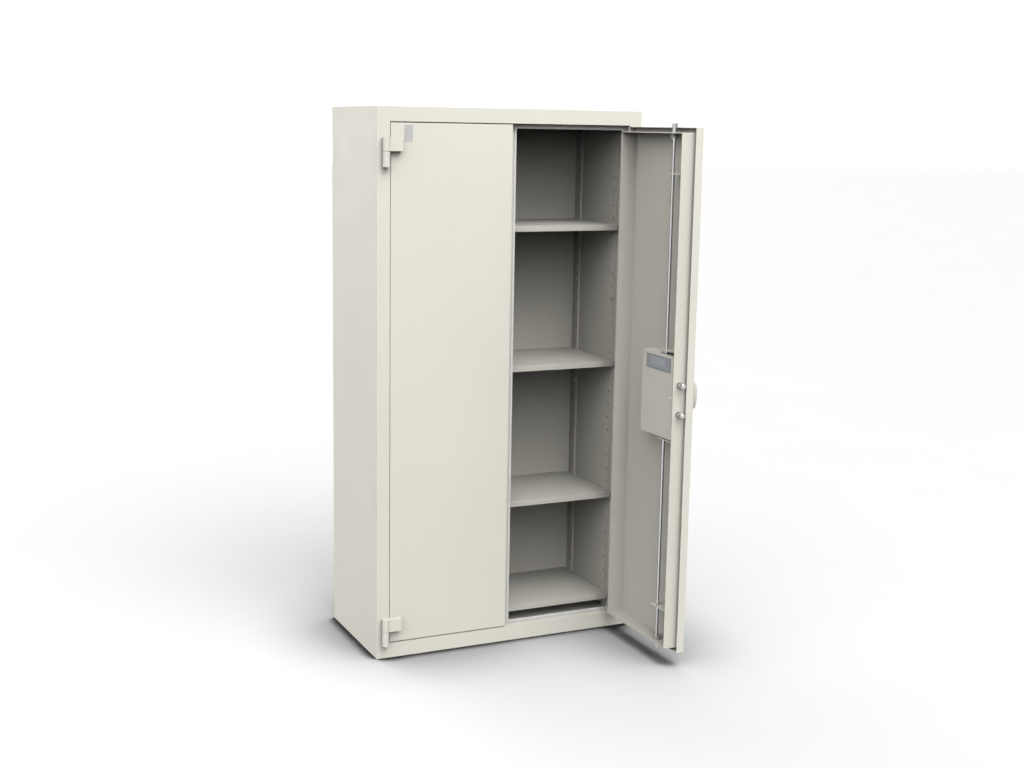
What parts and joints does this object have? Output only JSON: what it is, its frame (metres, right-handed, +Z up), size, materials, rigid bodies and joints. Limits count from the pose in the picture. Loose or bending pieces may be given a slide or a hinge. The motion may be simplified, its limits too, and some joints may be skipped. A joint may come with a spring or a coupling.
{
  "type": "security cabinet",
  "caption": "Tall double-door steel security cabinet with shelves, a centre post, external barrel hinges and a turning handle that throws rods and bolts.",
  "frame": {"origin": "middle of the carcass base on the floor", "axes": "+Z up, the door side faces -Y, the plain closed door is at -X and the locking door, drawn open, at +X"},
  "size_m": [1.0254, 0.9728, 1.92],
  "materials": {
    "outer_paint": "satin powder coat, cream white",
    "door_paint": "satin powder coat, cream white",
    "inner_paint": "satin powder coat, light grey",
    "shelf_paint": "satin powder coat, light grey",
    "zinc_steel": "zinc plated sheet",
    "bright_steel": "bright zinc plated bar",
    "hinge_washer": "plain steel",
    "light_rubber": "matt light grey rubber",
    "nylon": "natural nylon",
    "white_plastic": "matt white plastic",
    "label_foil": "blank pale foil",
    "fibre_board": "pressed insulation board"
  },
  "bodies": {
    "cabinet": {"side_left": "outer_paint", "side_right": "outer_paint", "top_panel": "outer_paint", "back_panel": "outer_paint", "base_panel": "zinc_steel", "anchor_plates": "zinc_steel", "jamb_left": "outer_paint", "jamb_right": "outer_paint", "head_rail": "outer_paint", "sill_rail": "outer_paint", "centre_post": "outer_paint", "post_keeper": "zinc_steel", "keeper_plates": "zinc_steel", "insulation_boards": "fibre_board", "inner_liner": "inner_paint", "shelf_rails": "inner_paint", "shelf_clips": "zinc_steel", "shelf_bottom": "shelf_paint", "shelf_lower": "shelf_paint", "shelf_middle": "shelf_paint", "shelf_upper": "shelf_paint", "seal_left": "light_rubber", "seal_right": "light_rubber", "hinge_knuckles": "outer_paint", "hinge_pins": "bright_steel", "hinge_washers": "hinge_washer"},
    "left_door": {"left_door_pan": "door_paint", "left_door_frame": "inner_paint", "left_hinge_blocks": "outer_paint", "left_bolt_guides": "inner_paint"},
    "left_upper_bolt": {"left_upper_bolt": "bright_steel"},
    "left_lower_bolt": {"left_lower_bolt": "bright_steel"},
    "right_door": {"right_door_pan": "door_paint", "right_door_frame": "inner_paint", "right_hinge_blocks": "outer_paint", "rod_guides": "inner_paint", "rod_bushes": "nylon", "lock_base": "zinc_steel", "lock_case": "inner_paint", "label_plate": "label_foil", "cover_screws": "inner_paint", "cover_plug": "white_plastic", "lock_body": "zinc_steel", "bolt_bushes": "nylon", "handle_rosette": "door_paint", "key_escutcheon": "door_paint"},
    "key_flap": {"key_flap": "zinc_steel"},
    "handle": {"handle_grip": "door_paint", "handle_spindle": "bright_steel", "cam_disc": "zinc_steel"},
    "upper_rod": {"upper_rod": "bright_steel", "upper_drive_plate": "zinc_steel"},
    "lower_rod": {"lower_rod": "bright_steel", "lower_drive_plate": "zinc_steel"},
    "lock_bolts": {"lock_bolts": "bright_steel", "bolt_carriage": "zinc_steel"}
  },
  "joints": [
    {"name": "right_door_hinge", "type": "hinge", "parent": "cabinet", "child": "right_door", "pos_m": [0.475, -0.254, 0.96], "axis": [0, 0, 1], "range_deg": [-90, 90]},
    {"name": "left_door_hinge", "type": "hinge", "parent": "cabinet", "child": "left_door", "pos_m": [-0.475, -0.254, 0.96], "axis": [0, 0, -1], "range_deg": [0, 180]},
    {"name": "handle_turn", "type": "hinge", "parent": "right_door", "child": "handle", "pos_m": [0.511, -0.644, 0.955], "axis": [-1, 0, 0], "range_deg": [0, 90]},
    {"name": "upper_rod_slide", "type": "slide", "parent": "right_door", "child": "upper_rod", "axis": [0, 0, -1], "range_m": [0, 0.03]},
    {"name": "lower_rod_slide", "type": "slide", "parent": "right_door", "child": "lower_rod", "axis": [0, 0, 1], "range_m": [0, 0.03]},
    {"name": "lock_bolts_slide", "type": "slide", "parent": "right_door", "child": "lock_bolts", "axis": [0, 1, 0], "range_m": [0, 0.03]},
    {"name": "key_flap_swing", "type": "hinge", "parent": "right_door", "child": "key_flap", "pos_m": [0.464, -0.549, 0.972], "axis": [1, 0, 0], "range_deg": [-100, 100]},
    {"name": "left_upper_bolt_slide", "type": "slide", "parent": "left_door", "child": "left_upper_bolt", "axis": [0, 0, 1], "range_m": [0, 0.028]},
    {"name": "left_lower_bolt_slide", "type": "slide", "parent": "left_door", "child": "left_lower_bolt", "axis": [0, 0, -1], "range_m": [0, 0.028]}
  ],
  "couplings": [
    {"joint": "upper_rod_slide", "follows": "handle_turn", "m_per_rad": 0.019098},
    {"joint": "lower_rod_slide", "follows": "handle_turn", "m_per_rad": 0.019098},
    {"joint": "lock_bolts_slide", "follows": "handle_turn", "m_per_rad": 0.019098}
  ]
}
